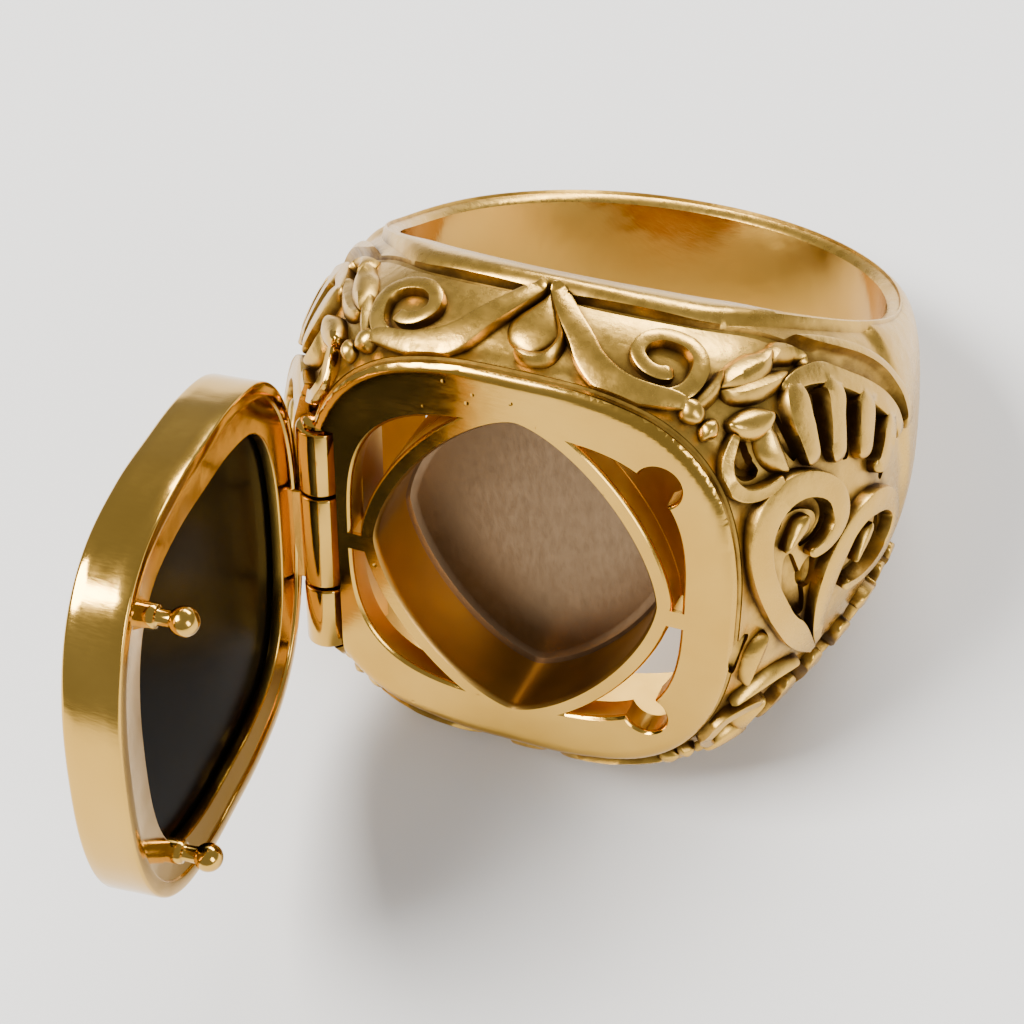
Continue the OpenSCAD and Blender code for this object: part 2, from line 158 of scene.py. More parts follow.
def faceOutline(count):
    # the edge of the flat face, (x, z) points at even spacing
    turn = faceEnd * np.sin(np.linspace(0, pi / 2, fineSteps))
    k = (faceSet / np.cos(np.radians(turn)) - rimRadius) / (reach(turn) - rimRadius)
    n = sectionAt(turn, "fullness")
    z = halfWidth(turn) * np.clip(1 - k**n, 0, None) ** (1 / n)
    z[-1] = 0
    x = faceSet * np.tan(np.radians(turn))
    quarter = np.stack([x, z], 1)
    loop = np.concatenate([quarter[::-1], quarter[1:] * [-1, 1],
                           quarter[::-1][1:] * [-1, -1], quarter[1:-1] * [1, -1]])
    return evenLoop(loop, count)


def evenLoop(loop, count):
    closed = np.concatenate([loop, loop[:1]])
    length = lengthAlong(closed)
    at = np.linspace(0, length[-1], count, endpoint=False)
    return np.stack([np.interp(at, length, closed[:, 0]), np.interp(at, length, closed[:, 1])], 1)


def inwardWay(loop):
    # at each point of a counter-clockwise loop, the unit step towards its inside
    along = np.roll(loop, -2, axis=0) - np.roll(loop, 2, axis=0)
    along /= np.linalg.norm(along, axis=1, keepdims=True)
    return np.stack([-along[:, 1], along[:, 0]], 1)


def insetLoop(loop, inset):
    return loop + inset * inwardWay(loop)


def roundedLoop(width, height, fullness):
    # between an ellipse and a rectangle: the fuller, the squarer
    t = np.linspace(0, 2 * pi, 4 * loopPoints, endpoint=False)
    c, s = np.cos(t), np.sin(t)
    loop = np.stack([width / 2 * np.sign(c) * np.abs(c) ** (2 / fullness),
                     height / 2 * np.sign(s) * np.abs(s) ** (2 / fullness)], 1)
    return evenLoop(loop, loopPoints)


# Distances below which points made twice are joined
joinValues = {"grid": 2e-4, "turned": 1e-4, "cut": 4e-4, "sliverArea": 5e-5}


def inScene(name, data):
    obj = bpy.data.objects.new(name, data)
    bpy.context.scene.collection.objects.link(obj)
    return obj


def newObject(name, bm):
    mesh = bpy.data.meshes.new(name)
    bm.to_mesh(mesh)
    bm.free()
    return inScene(name, mesh)


def closedObject(name, bm, distance=0):
    # joins points nearer than the distance, closes open ends, turns all faces outwards
    if distance:
        bmesh.ops.remove_doubles(bm, verts=bm.verts, dist=distance)
    bmesh.ops.holes_fill(bm, edges=[e for e in bm.edges if e.is_boundary], sides=0)
    bmesh.ops.recalc_face_normals(bm, faces=bm.faces)
    return newObject(name, bm)


def shapedGrid(name, columns, rows, shape):
    # a grid laid over a surface: shape(u, v) gives the points, u and v from 0 to 1
    bm = bmesh.new()
    bmesh.ops.create_grid(bm, x_segments=columns, y_segments=rows, size=1)
    flat = np.array([v.co[:2] for v in bm.verts])
    points = shape((flat[:, 0] + 1) / 2, (flat[:, 1] + 1) / 2)
    for vert, point in zip(bm.verts, points):
        vert.co = point
    return closedObject(name, bm, joinValues["grid"])


def insetLoft(name, loop, steps):
    # a loop drawn on the face, taken back through (inset, depth behind the face plane) steps
    bm = bmesh.new()
    rings = []
    for inset, depth in steps:
        verts = [bm.verts.new((x, -faceSet + depth, z)) for x, z in insetLoop(loop, inset)]
        rings.append([bm.edges.new(pair) for pair in zip(verts, verts[1:] + verts[:1])])
    for low, high in zip(rings[:-1], rings[1:]):
        bmesh.ops.bridge_loops(bm, edges=low + high)
    return closedObject(name, bm)


def prism(name, loop, flare, depthFrom, depthTo):
    # a cutter or wall seen from the front; its edge at the face plane flares over the chamfer
    chamfer = plateSizes["chamfer"]
    return insetLoft(name, loop, [(-flare, depthFrom), (-flare, -0.001),
                                  (-flare * 0.35, chamfer * 0.4), (0, chamfer), (0, depthTo)])


def box(name, low, high, rounding=0.0):
    bm = bmesh.new()
    bmesh.ops.create_cube(bm, size=1)
    size = Vector(high) - Vector(low)
    bmesh.ops.scale(bm, verts=bm.verts, vec=size)
    bmesh.ops.translate(bm, verts=bm.verts, vec=Vector(low) + size / 2)
    if rounding:
        bmesh.ops.bevel(bm, geom=bm.edges[:], offset=rounding, segments=3, profile=0.5,
                        affect="EDGES", material=-1)
    return newObject(name, bm)


def turned(name, profile, steps):
    # a turned shape: profile is (radius, height) points from pole to pole, spun about Z
    bm = bmesh.new()
    verts = [bm.verts.new((r, 0, h)) for r, h in profile]
    edges = [bm.edges.new(pair) for pair in zip(verts[:-1], verts[1:])]
    bmesh.ops.spin(bm, geom=verts + edges, cent=(0, 0, 0), axis=(0, 0, 1), angle=2 * pi,
                   steps=steps, use_merge=True)
    return closedObject(name, bm, joinValues["turned"])


def hingeRod(name, radius, low, high, rounding=0.0):
    # a rod on the hinge line, from low to high
    profile = [(radius, low), (radius, high)]
    if rounding:
        arc = [radians(a) for a in (0, 30, 60, 90)]
        inner = radius - rounding
        profile = [(inner + rounding * sin(a), low + rounding - rounding * cos(a)) for a in arc]
        profile += [(inner + rounding * cos(a), high - rounding + rounding * sin(a)) for a in arc]
    obj = turned(name, [(0, low)] + profile + [(0, high)], hingeSizes["sides"])
    obj.data.transform(toHinge)
    return obj


def combine(target, others, operation):
    for other in others:
        modifier = target.modifiers.new("shape", "BOOLEAN")
        modifier.operation = operation
        modifier.solver = "MANIFOLD"
        modifier.object = other
    graph = bpy.context.evaluated_depsgraph_get()
    graph.update()
    mesh = bpy.data.meshes.new_from_object(target.evaluated_get(graph))
    target.modifiers.clear()
    target.data = mesh
    for other in others:
        bpy.data.objects.remove(other)
    return target


def cleanMesh(mesh):
    # takes out the slivers that the cuts leave
    bm = bmesh.new()
    bm.from_mesh(mesh)
    bmesh.ops.remove_doubles(bm, verts=bm.verts, dist=joinValues["cut"])
    bmesh.ops.dissolve_degenerate(bm, edges=bm.edges, dist=joinValues["cut"])
    bmesh.ops.triangulate(bm, faces=[f for f in bm.faces if len(f.verts) > 4])
    seen, folded = {}, set()
    for face in bm.faces:
        key = frozenset(v.index for v in face.verts)
        if key in seen:
            folded.update((face, seen[key]))
        seen[key] = face
    bmesh.ops.delete(bm, geom=list(folded), context="FACES")
    torn = [f for f in bm.faces if f.calc_area() < joinValues["sliverArea"]
            and any(len(e.link_faces) != 2 for e in f.edges)]
    bmesh.ops.delete(bm, geom=torn, context="FACES")
    bmesh.ops.holes_fill(bm, edges=[e for e in bm.edges if e.is_boundary], sides=0)
    bmesh.ops.triangulate(bm, faces=[f for f in bm.faces if len(f.verts) > 4])
    bm.to_mesh(mesh)
    bm.free()


def finishPiece(obj, materials, body, node, sharpAngle):
    # cleans a piece, lays it on the table, hangs it on its body and hides the part it stands in for
    cleanMesh(obj.data)
    slots = np.zeros(len(obj.data.polygons), np.int32)
    obj.data.polygons.foreach_get("material_index", slots)
    obj.data.transform(toRest)
    obj.data.materials.clear()
    for material in materials:
        obj.data.materials.append(material)
    obj.data.polygons.foreach_set("material_index", slots)
    obj.data.shade_smooth()
    obj.data.set_sharp_from_angle(angle=radians(sharpAngle))
    shade = obj.modifiers.new("evenShade", "WEIGHTED_NORMAL")
    shade.keep_sharp = True
    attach(obj, body)
    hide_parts(node)
    print(f"{obj.name}: {sum(len(p.vertices) - 2 for p in obj.data.polygons)} triangles")


class Finish:
    # a small hand for wiring a material's nodes
    def __init__(self, name, **constants):
        self.material = bpy.data.materials.new(name)
        self.material.use_nodes = True
        self.nodes = self.material.node_tree.nodes
        self.links = self.material.node_tree.links
        self.shader = self.nodes["Principled BSDF"]
        self.place = self.nodes.new("ShaderNodeTexCoord").outputs["Object"]
        for key, value in constants.items():
            self.shader.inputs[key].default_value = value

    def node(self, kind, inputs, **settings):
        # a new node: each input gets a plain value or another node's output
        node = self.nodes.new("ShaderNode" + kind)
        for key, value in settings.items():
            setattr(node, key, value)
        for key, value in inputs.items():
            self.feed(node.inputs[key], value)
        return node.outputs

    def feed(self, socket, value):
        if isinstance(value, bpy.types.NodeSocket):
            self.links.new(value, socket)
        elif value is not None:
            socket.default_value = value

    def noise(self, size, detail, roughness=0.55, stretch=(1, 1, 1), turn=(0, 0, 0)):
        # size is the spacing of the pattern in millimetres
        place = self.node("Mapping", {"Vector": self.place, "Scale": stretch, "Rotation": turn})["Vector"]
        return self.node("TexNoise", {"Vector": place, "Scale": 1 / toMetres / size,
                                      "Detail": detail, "Roughness": roughness})["Fac"]

    def spots(self, size):
        return self.node("TexVoronoi", {"Vector": self.place, "Scale": 1 / toMetres / size})["Distance"]

    def slant(self, direction, offset):
        # grows along a direction, by its length for each millimetre
        away = self.node("VectorMath", {0: self.place, 1: [part / toMetres for part in direction]},
                         operation="DOT_PRODUCT")
        return self.math("ADD", away["Value"], offset)

    def recess(self, spread):
        # how much shade falls here: 0 in the open, towards 1 in a corner or a narrow slot, looking spread
        # millimetres round
        light = self.node("AmbientOcclusion", {"Distance": spread * toMetres}, only_local=True, samples=8)
        return self.math("SUBTRACT", 1.0, light["AO"])

    def ranged(self, value, fromLow, fromHigh, toLow, toHigh):
        return self.node("MapRange", {"Value": value, "From Min": fromLow, "From Max": fromHigh,
                                      "To Min": toLow, "To Max": toHigh})["Result"]

    def math(self, operation, a, b):
        return self.node("Math", {0: a, 1: b}, operation=operation)[0]

    def ramp(self, value, stops):
        node = self.nodes.new("ShaderNodeValToRGB")
        for element, (at, color) in zip(node.color_ramp.elements, stops):
            element.position = at
            element.color = (*color, 1)
        self.links.new(value, node.inputs["Fac"])
        return node.outputs["Color"]

    def mix(self, share, a, b):
        # sockets 6 and 7 of this node are its two colours
        return self.node("Mix", {"Factor": share, 6: a, 7: (*b, 1)}, data_type="RGBA", clamp_factor=True)[2]

    def bump(self, height, depth, normal=None):
        # depth in millimetres
        return self.node("Bump", {"Height": height, "Strength": 1, "Distance": depth * toMetres,
                                  "Normal": normal})["Normal"]

    def tone(self, size, detail, low, high, dark="warm", light="bright"):
        # two of the gold's colours in soft patches
        return self.ramp(self.noise(size, detail), [(low, goldColors[dark]), (high, goldColors[light])])

    def waves(self, size, detail, depth, normal=None):
        return self.bump(self.noise(size, detail), depth, normal)

    def cloud(self, size, detail, low, high):
        # soft patches that go from low to high
        return self.ranged(self.noise(size, detail), 0.3, 0.7, low, high)

    def connect(self, color, roughness, normal):
        for key, value in (("Base Color", color), ("Roughness", roughness), ("Normal", normal)):
            self.feed(self.shader.inputs[key], value)
        return self.material

    def satin(self, color, v, detail):
        # plain soft surface: only patches of roughness and shallow waves
        return self.connect(color, self.cloud(v["wearSize"], 3, *v["roughness"]),
                            self.waves(v["waveSize"], detail, v["waveDepth"]))


goldColors = {
    "bright": (0.70, 0.425, 0.085),
    "warm": (0.59, 0.335, 0.055),
    # painted reflection: amber is a darker gold for the compartment's wall, which only sees gold
    "amber": (0.27, 0.145, 0.04),
    # painted shade: the dark brown laid into the casting's recesses
    "recessShade": (0.050, 0.020, 0.005),
    # rose and umber: the compartment floor; umber also carries its painted shade on one side
    "rose": (0.240, 0.157, 0.088),
    "umber": (0.105, 0.054, 0.025),
}
# Sizes and depths in millimetres; roughness from its smoothest to its roughest patch
castValues = {
    # recessShade: how the painted shade in the recesses maps onto its dark colour
    "toneSize": 5.0, "recessReach": 1.1, "wearSize": 0.9, "wearAmount": 0.1, "recessShade": (0.12, 0.50, 0, 0.95),
    "roughness": (0.27, 0.55), "spotSize": 0.5, "spots": (-0.04, 0.05), "waveDepth": 0.03,
    "grainSize": 0.16, "grainDepth": 0.006,
}
faceValues = {
    "toneSize": 4.0, "hairSize": 0.6, "hairDepth": 0.0015, "roughness": (0.10, 0.20), "wearSize": 2.4,
    "pitSize": 0.9, "pitDepth": 0.008, "dentSize": 2.6, "dentDepth": 0.020,
}
hollowValues = {"toneSize": 3, "wearSize": 1.2, "roughness": (0.36, 0.48), "waveSize": 0.5, "waveDepth": 0.006}
polishedValues = {
    "toneSize": 9.0, "hairSize": 0.45, "hairDepth": 0.0015, "roughness": (0.09, 0.17), "wearSize": 2.2,
    "waveSize": 2.4, "waveDepth": 0.03,
}
floorValues = {
    "brushSize": 0.22, "brushTurn": -38, "brushDepth": 0.0025, "roughness": (0.34, 0.5),
    # shadeSlant: painted shade, darker towards one side of the floor
    "bloomSize": 5.5, "shadeSlant": (0.13, 0.0, -0.10), "waveSize": 1.2, "waveDepth": 0.006,
}
innerValues = {"toneSize": 5.0, "wearSize": 2.6, "roughness": (0.28, 0.36), "waveSize": 3.0, "waveDepth": 0.010}
onyxValues = {
    "dark": (0.0012, 0.0012, 0.0014), "light": (0.0028, 0.0024, 0.0020), "specular": 0.03,
    "toneSize": 6.0, "wearSize": 3.2, "roughness": (0.20, 0.25), "waveSize": 4.0, "waveDepth": 0.006,
}


def castGold():
    # soft cast surface: satin on top, dark brown painted shade in the recesses, uneven where the fingers have
    # rubbed it
    v, f = castValues, Finish("castGold", Metallic=1)
    tone = f.tone(v["toneSize"], 2, 0.3, 0.7)
    wear = f.cloud(v["wearSize"], 4, -v["wearAmount"], v["wearAmount"])
    # painted shade in the recesses, from the occlusion, plus random patches of wear
    shadeAndWear = f.math("ADD", f.recess(v["recessReach"]), wear)
    color = f.mix(f.ranged(shadeAndWear, *v["recessShade"]), tone, goldColors["recessShade"])
    rough = f.math("ADD", f.ranged(shadeAndWear, 0.0, 0.8, *v["roughness"]), f.cloud(v["spotSize"], 3, *v["spots"]))
    fine = f.waves(v["grainSize"], 3, v["grainDepth"])
    return f.connect(color, rough, f.waves(v["wearSize"], 2, v["waveDepth"], fine))


def faceGold():
    # flat frame round the compartment: worn polish with hairlines and tiny pits
    v, f = faceValues, Finish("faceGold", Metallic=1)
    tone = f.tone(v["toneSize"], 3, 0.35, 0.95)
    hair = f.noise(v["hairSize"], 2, 0.6, (1.0, 1.0, 9.0), (0.3, 0.5, 0.7))
    rough = f.math("ADD", f.cloud(v["wearSize"], 4, *v["roughness"]), f.ranged(hair, 0.4, 0.6, -0.01, 0.03))
    pits = f.ranged(f.spots(v["pitSize"]), 0.03, 0.10, 0, 1)
    dents = f.waves(v["dentSize"], 2, v["dentDepth"])
    return f.connect(tone, rough, f.bump(pits, v["pitDepth"], f.bump(hair, v["hairDepth"], dents)))


def hollowGold():
    # inside of the head, seen through the corner openings: plain satin, no ornament
    v, f = hollowValues, Finish("hollowGold", Metallic=1)
    return f.satin(f.tone(v["toneSize"], 3, 0.3, 0.8), v, 3)


def polishedGold():
    v, f = polishedValues, Finish("polishedGold", Metallic=1)
    tone = f.tone(v["toneSize"], 2, 0.3, 0.7)
    hair = f.noise(v["hairSize"], 2, 0.6, (1.0, 8.0, 1.0), (0.2, 0.4, 0.9))
    rough = f.math("ADD", f.cloud(v["wearSize"], 4, *v["roughness"]), f.ranged(hair, 0.4, 0.6, -0.01, 0.02))
    waves = f.waves(v["waveSize"], 2, v["waveDepth"])
    return f.connect(tone, rough, f.bump(hair, v["hairDepth"], waves))


def cupFloorGold():
    # brushed floor of the compartment, rosy, in soft patches, with painted shade darkening it towards umber on
    # one side
    v, f = floorValues, Finish("brushedFloor", Metallic=1)
    brush = f.noise(v["brushSize"], 3, 0.7, (1.0, 1.0, 0.08), (0.0, radians(v["brushTurn"]), 0.0))
    # painted shade: the slant darkens the floor towards one side; the cloud adds random patches
    toneAndShade = f.math("ADD", f.cloud(v["bloomSize"], 2, -0.15, 0.15), f.slant(v["shadeSlant"], 0.02))
    rose = (*goldColors["rose"], 1)
    color = f.mix(f.ranged(toneAndShade, 0.1, 0.9, 0.05, 0.95), rose, goldColors["umber"])
    waves = f.waves(v["waveSize"], 3, v["waveDepth"])
    return f.connect(color, f.ranged(brush, 0.3, 0.7, *v["roughness"]), f.bump(brush, v["brushDepth"], waves))


def innerGold():
    # the compartment's wall: satin, painted amber and darker than the rest, a painted reflection of the gold
    # round it
    v, f = innerValues, Finish("innerGold", Metallic=1)
    return f.satin(f.tone(v["toneSize"], 2, 0.3, 1.0, "amber", "warm"), v, 2)


def onyxFinish():
    v = onyxValues
    f = Finish("onyx", **{"Metallic": 0, "Specular IOR Level": v["specular"]})
    return f.satin(f.ramp(f.noise(v["toneSize"], 3), [(0.35, v["dark"]), (0.75, v["light"])]), v, 2)


finishes = {"cast": castGold(), "face": faceGold(), "polished": polishedGold(), "floor": cupFloorGold(),
            "inner": innerGold(), "hollow": hollowGold(), "onyx": onyxFinish()}
print("finishes made")

# The casting's ornament. Each stroke: section, height and path, whose points are
# (angle round the finger, rise on the dome, half width).
# band: flat top with rounded sides; ridge: a crest; dome: a rounded top; groove and pit go down to -height.
upperStrokes = [  # drawn above and below the face, on both sides
    ("band", 0.44, [(0.9, 85.6, .16), (1.7, 83.8, .3), (3.1, 81, .38), (5.2, 76, .43), (7.9, 69.8, .48),
        (9.8, 64.2, .54), (12.2, 60, .58), (15.2, 57.6, .52), (18.6, 56.7, .42), (21.8, 55.9, .34),
        (23.8, 54.2, .22)]),
    ("dome", 0.5, [(23, 56, .42), (23.9, 54, .48), (24.7, 51.8, .48), (25.3, 49.8, .42)]),
    ("dome", 0.54, [(25.5, 49.2, .46), (26.1, 48.1, .52), (26.7, 47, .52), (27.2, 45.8, .46)]),
    ("band", 0.4, [(17, 56.6, .12), (20.4, 56.6, .26), (23.4, 58.6, .32), (25.3, 63.3, .34), (25.9, 68.6, .33),
        (24.4, 73.6, .32), (20.9, 75.6, .3), (17.9, 73.6, .28), (16.6, 69.2, .28), (17.7, 65.2, .27),
        (19.8, 63.3, .28), (21.9, 63.8, .3)]),
    ("ridge", 0.42, [(29, 65.4, .12), (28, 61, .3), (26.2, 57, .34), (24.4, 53.4, .26)]),
    ("ridge", 0.46, [(28.4, 59.6, .2), (30.6, 62.4, .5), (33.8, 64.8, .62), (36.6, 67.4, .5),
        (38.4, 71.8, .22)]),
    ("ridge", 0.4, [(28.4, 58.8, .2), (30.6, 57.8, .4), (33.6, 58.4, .48), (37.4, 60.2, .4), (40.4, 63, .2)]),
    ("ridge", 0.44, [(37.6, 66.6, .15), (40, 70.2, .45), (43, 71.2, .5), (44.9, 68, .3), (44.6, 64.6, .12)]),
    ("band", 0.46, [(29.8, 46, .16), (29, 42.6, .22), (28.3, 38.2, .26), (28.5, 33.4, .28), (29.9, 30.2, .28),
        (31.9, 29.2, .26), (34.4, 30.2, .24), (36.6, 32.6, .16)]),
    ("dome", 0.56, [(28.8, 48.6, .2), (31, 48, .5), (33.6, 48.4, .56), (36, 50.4, .26)]),
    ("ridge", 0.5, [(34.4, 48.6, .22), (34.8, 44, .56), (35.6, 39.2, .58), (37.4, 33.8, .3)]),
    ("band", 0.48, [(40.6, 60.4, .4), (40.6, 54, .62), (40.8, 48, .62), (41.6, 41.6, .52), (42.2, 34.8, .34)]),
    ("band", 0.48, [(50.4, 60.8, .4), (49, 54.6, .66), (48, 48.4, .62), (47.5, 41.4, .54), (47.4, 34.4, .36)]),
    ("band", 0.48, [(58.6, 53.6, .36), (56.2, 47.8, .6), (54.6, 41.4, .56), (53.2, 33.4, .38)]),
    ("band", 0.46, [(64.6, 42.6, .34), (62, 36.2, .54), (59, 31.2, .48), (56, 28.6, .3)]),
    ("band", 0.42, [(38.6, 57.6, .24), (41, 59.6, .34), (44.2, 61.2, .4), (48.3, 61.6, .46), (54, 58.8, .5),
        (58.9, 53.4, .5), (63.6, 45.6, .5), (66.4, 37.6, .46), (66.6, 31, .3)]),
    ("band", 0.36, [(43.2, 75.4, .2), (51.1, 72.6, .42), (58.6, 68.4, .48), (64.9, 60.8, .5), (69.4, 50.4, .5),
        (71.8, 38.5, .48), (71.2, 30, .3)]),
]
tearStrokes = [  # the tear in the middle, above and below
    ("dome", 0.3, [(0.5, 82.8, .08), (0.7, 79.8, .32), (0.7, 76.2, .64), (0.6, 72.4, .92), (0.5, 68, 1.06),
        (0.8, 64.8, .98), (1.1, 62.8, .7)]),
    ("ridge", 0.44, [(3, 75.8, .1), (4.2, 72.2, .14), (4.8, 69, .2), (4.3, 65.2, .26), (2.9, 62, .34),
        (0.6, 61.2, .34), (-1.6, 62.6, .2)]),
]
upperGrooves = [
    ("groove", 0.2, [(3.4, 84, .12), (8, 83.8, .18), (14.5, 83.8, .2), (20, 83.7, .2), (26, 83.2, .2),
        (31, 82.4, .22), (36, 80.8, .25), (40, 78.2, .28), (44, 74.2, .32), (48.5, 70.2, .36), (54, 66.6, .4),
        (60, 61.8, .43), (65.2, 54.4, .42), (68.6, 44.6, .36), (69.2, 34, .18)]),
    ("groove", 0.44, [(31.4, 43.6, .2), (31, 39.6, .42), (31.6, 35.8, .46), (33.4, 34, .22)]),
    ("pit", 0.3, [(37.2, 50.6, .12), (37.8, 45.3, .24), (38.7, 41, .26), (40.1, 36.4, .14)]),
    ("pit", 0.34, [(46.4, 57, .3), (45.3, 51, .4), (44.7, 43.6, .4), (44.5, 36, .24)]),
    ("pit", 0.34, [(54, 52.8, .28), (52, 46.6, .38), (51, 40.8, .36), (50.6, 34, .22)]),
    ("pit", 0.3, [(60.6, 44, .26), (58.4, 38.4, .34), (56, 31.6, .2)]),
    ("pit", 0.26, [(64.6, 33.6, .24), (61.8, 27.4, .3), (59.4, 22.6, .18)]),
]
sideStrokes = [  # the scrolls between them, on both sides
    ("band", 0.46, [(44.6, -24.8, .16), (42, -17, .42), (39.9, -10.4, .56), (37.4, -3.2, .52), (35.1, 2.6, .5),
        (33.6, 8.6, .52), (33, 14.6, .56), (33.4, 20, .62), (35.2, 25.6, .66), (38.8, 28.8, .66),
        (42.8, 28.8, .6), (46, 25.8, .56), (47, 20.8, .5), (46.2, 16.4, .4), (44, 12.8, .32),
        (41.2, 10.8, .22)]),
    ("dome", 0.44, [(41, 21.2, .26), (39.8, 18.6, .46), (38.4, 15.6, .34), (37, 12.6, .16)]),
    ("band", 0.46, [(44.8, -22, .14), (44.2, -13, .34), (44.4, -4.2, .46), (45.6, 4, .52), (47.8, 11, .52),
        (50.8, 16.2, .5), (55, 18.8, .5), (59, 16.6, .48), (61.4, 10, .42), (60.6, 3, .4), (58.2, -3.2, .38),
        (54.8, -6.2, .34), (51, -6.8, .26), (48.4, -6, .18)]),
    ("dome", 0.4, [(54.8, 12.2, .24), (53.4, 8.6, .34), (51.8, 4, .22), (50.8, 0.8, .12)]),
    ("ridge", 0.44, [(35.2, -5.6, .2), (34.3, -9.6, .48), (33.4, -14.6, .4), (32.8, -18.6, .16)]),
    ("ridge", 0.44, [(42.8, -27.2, .24), (38.6, -24.2, .44), (34.8, -23.6, .4), (31.2, -24.2, .2)]),
]
sideGrooves = [
    ("pit", 0.3, [(38.4, 10.8, .2), (38.8, 6.6, .38), (39.6, 1.6, .5), (40.8, -3.6, .38), (41.8, -8, .14)]),
    ("pit", 0.3, [(42.8, 9, .2), (42, 4.6, .44), (42, 0, .38)]),
    ("pit", 0.22, [(36.3, 17.6, .16), (37.2, 22.2, .24), (40, 24.4, .26), (43.2, 23.2, .26), (44.2, 19.4, .24),
        (42.8, 15.4, .2), (40.2, 12.8, .14)]),
    ("pit", 0.22, [(56.4, 13.2, .1), (53.4, 13.6, .2), (50.6, 10.6, .24), (49, 5.6, .22), (48.6, 0.8, .14)]),
    ("pit", 0.22, [(57.8, 11.6, .12), (57.2, 5.6, .3), (54.8, -0.6, .36), (51.6, -3.2, .3), (49, -3.2, .14)]),
    ("pit", 0.26, [(31, -12.6, .16), (31.2, -7.6, .36), (32.6, -4, .26)]),
]
reliefValues = {
    "root": 0.35,  # how deep the forms sink into the dome
    "cutterTop": 0.9,  # how far the cutters of sunk forms stand out
    "panelSink": 0.28,  # the ornament's ground lies this far below the rim
    "panelRise": (85, 2.5),  # degrees where the ground meets the rim, and over how many it climbs
    "panelEnd": (73, 5),  # the same where it runs out into the shank
    "panelFront": (0.1, 0.7),  # the same behind the face, in millimetres
    "gather": (0.985, 0.988),  # draws the paths a little towards the head's middle
    "rimHeight": 0.12,  # raised lip round the finger hole's edge
    "rimLip": (85.4, 1.4, 1.5),  # degrees where the lip starts, and over how many it climbs and falls
    "faceSoftness": 0.12,  # rounding where the dome meets the flat face
    "boreRound": 0.22,  # rounding from the rim into the finger hole
    "edgeLine": (0.3, 0.17, 0.14),  # the line sunk round the face: how far behind, half width, depth
}
# One half of each form's section: (share of the half width, share of the height)
ribbonHalves = {
    "band": [(-1.08, -1), (-1, 0.1), (-0.96, 0.7), (-0.88, 0.93), (-0.72, 1), (0, 0.98)],
    "ridge": [(-1.1, -1), (-1, 0.08), (-0.72, 0.5), (-0.34, 0.86), (0, 1)],
    "dome": [(-1.06, -1), (-1, 0.14), (-0.93, 0.4), (-0.8, 0.63), (-0.62, 0.81), (-0.42, 0.92),
             (-0.2, 0.985), (0, 1)],
    "groove": [(-1.5, 1), (-1, 0.05), (-0.6, -0.7), (0, -1)],
    "pit": [(-1.25, 1), (-1, 0.1), (-0.8, -0.75), (-0.4, -1)],
}


def strokeLine(path, perSpan):
    # a smooth line through the rows of a path
    p = np.array(path, float)
    padded = np.concatenate([[2 * p[0] - p[1]], p, [2 * p[-1] - p[-2]]])
    t = np.linspace(0, 1, (len(p) - 1) * perSpan + 1)
    at = (len(p) - 1) * (t - 0.11 * np.sin(2 * pi * t))  # closer together at the ends
    i = np.minimum(at.astype(int), len(p) - 2)
    f = (at - i)[:, None]
    a, b, c, d = padded[i], padded[i + 1], padded[i + 2], padded[i + 3]
    bend = (a - 2.5 * b + 2 * c - d / 2) + f * (1.5 * b - 1.5 * c + (d - a) / 2)
    return b + f * ((c - a) / 2 + f * bend)


def groundSink(angle, rise):
    # how far the ornament's ground is sunk: not at the rim, the face's edge or the shank
    v, depth = reliefValues, -domePoint(angle, rise)[..., 1]
    top, overTop = v["panelRise"]
    end, overEnd = v["panelEnd"]
    front, overFront = v["panelFront"]
    return (v["panelSink"] * smoothStep((top - np.abs(rise)) / overTop)
            * smoothStep((end - np.abs(angle)) / overEnd) * smoothStep((faceSet - front - depth) / overFront))


def faceEdgePath(behind, half):
    # a quarter of the line round the face's edge, this far behind the flat
    gatherAngle, gatherRise = reliefValues["gather"]
    path, out = [], np.linspace(20, 75, fineSteps)
    for way in np.radians(np.linspace(-3, 93, 17)):
        angle, rise = out * np.cos(way), out * np.sin(way)
        i = np.argmax(-domePoint(angle, rise)[:, 1] < faceSet - behind)
        path.append((angle[i] / gatherAngle, rise[i] / gatherRise, half))
    return path


def ribbon(kind, height, path, turnAngle, turnRise):
    # a raised form, or the cutter of a sunk one, that follows its path over the dome
    gatherAngle, gatherRise = reliefValues["gather"]
    section = ribbonHalves[kind] + [(-x, y) for x, y in reversed(ribbonHalves[kind]) if x]
    sunk = kind in ("groove", "pit")
    line = strokeLine(path, 6 if len(path) > 6 else 9)  # more points on short paths
    angle = line[:, 0] * turnAngle * gatherAngle
    rise = line[:, 1] * turnRise * gatherRise
    half = np.maximum(line[:, 2], 0.05)
    spine, up = domePoint(angle, rise, groundSink(angle, rise)), domeNormal(angle, rise)
    side = np.cross(up, np.gradient(spine, axis=0))
    side /= np.linalg.norm(side, axis=1, keepdims=True)
    run = lengthAlong(spine)
    toEnd = np.minimum(run, run[-1] - run)
    fromEnd = np.clip((toEnd + 0.03) / np.maximum(half * 1.1, 0.12), 0.02, 1)
    blunt = np.sqrt(1 - (1 - fromEnd) ** 2)  # rounded ends
    above, below = (reliefValues["cutterTop"], height) if sunk else (height, reliefValues["root"])
    steps, rows = len(line) - 1, len(section)
    shares = np.array(section + [section[0]])

    def shape(u, v):
        i = nearest(u * steps)
        row = nearest(v * rows)
        across, level = shares[row, 0], shares[row, 1]
        rising = np.where(level > 0, level * above, level * below)
        if not sunk:
            rising = np.where(level > 0, rising * (0.35 + 0.65 * blunt[i]), rising)
        return spine[i] + side[i] * (across * half[i] * blunt[i])[:, None] + up[i] * rising[:, None]

    return shapedGrid("ribbon", steps, rows, shape)


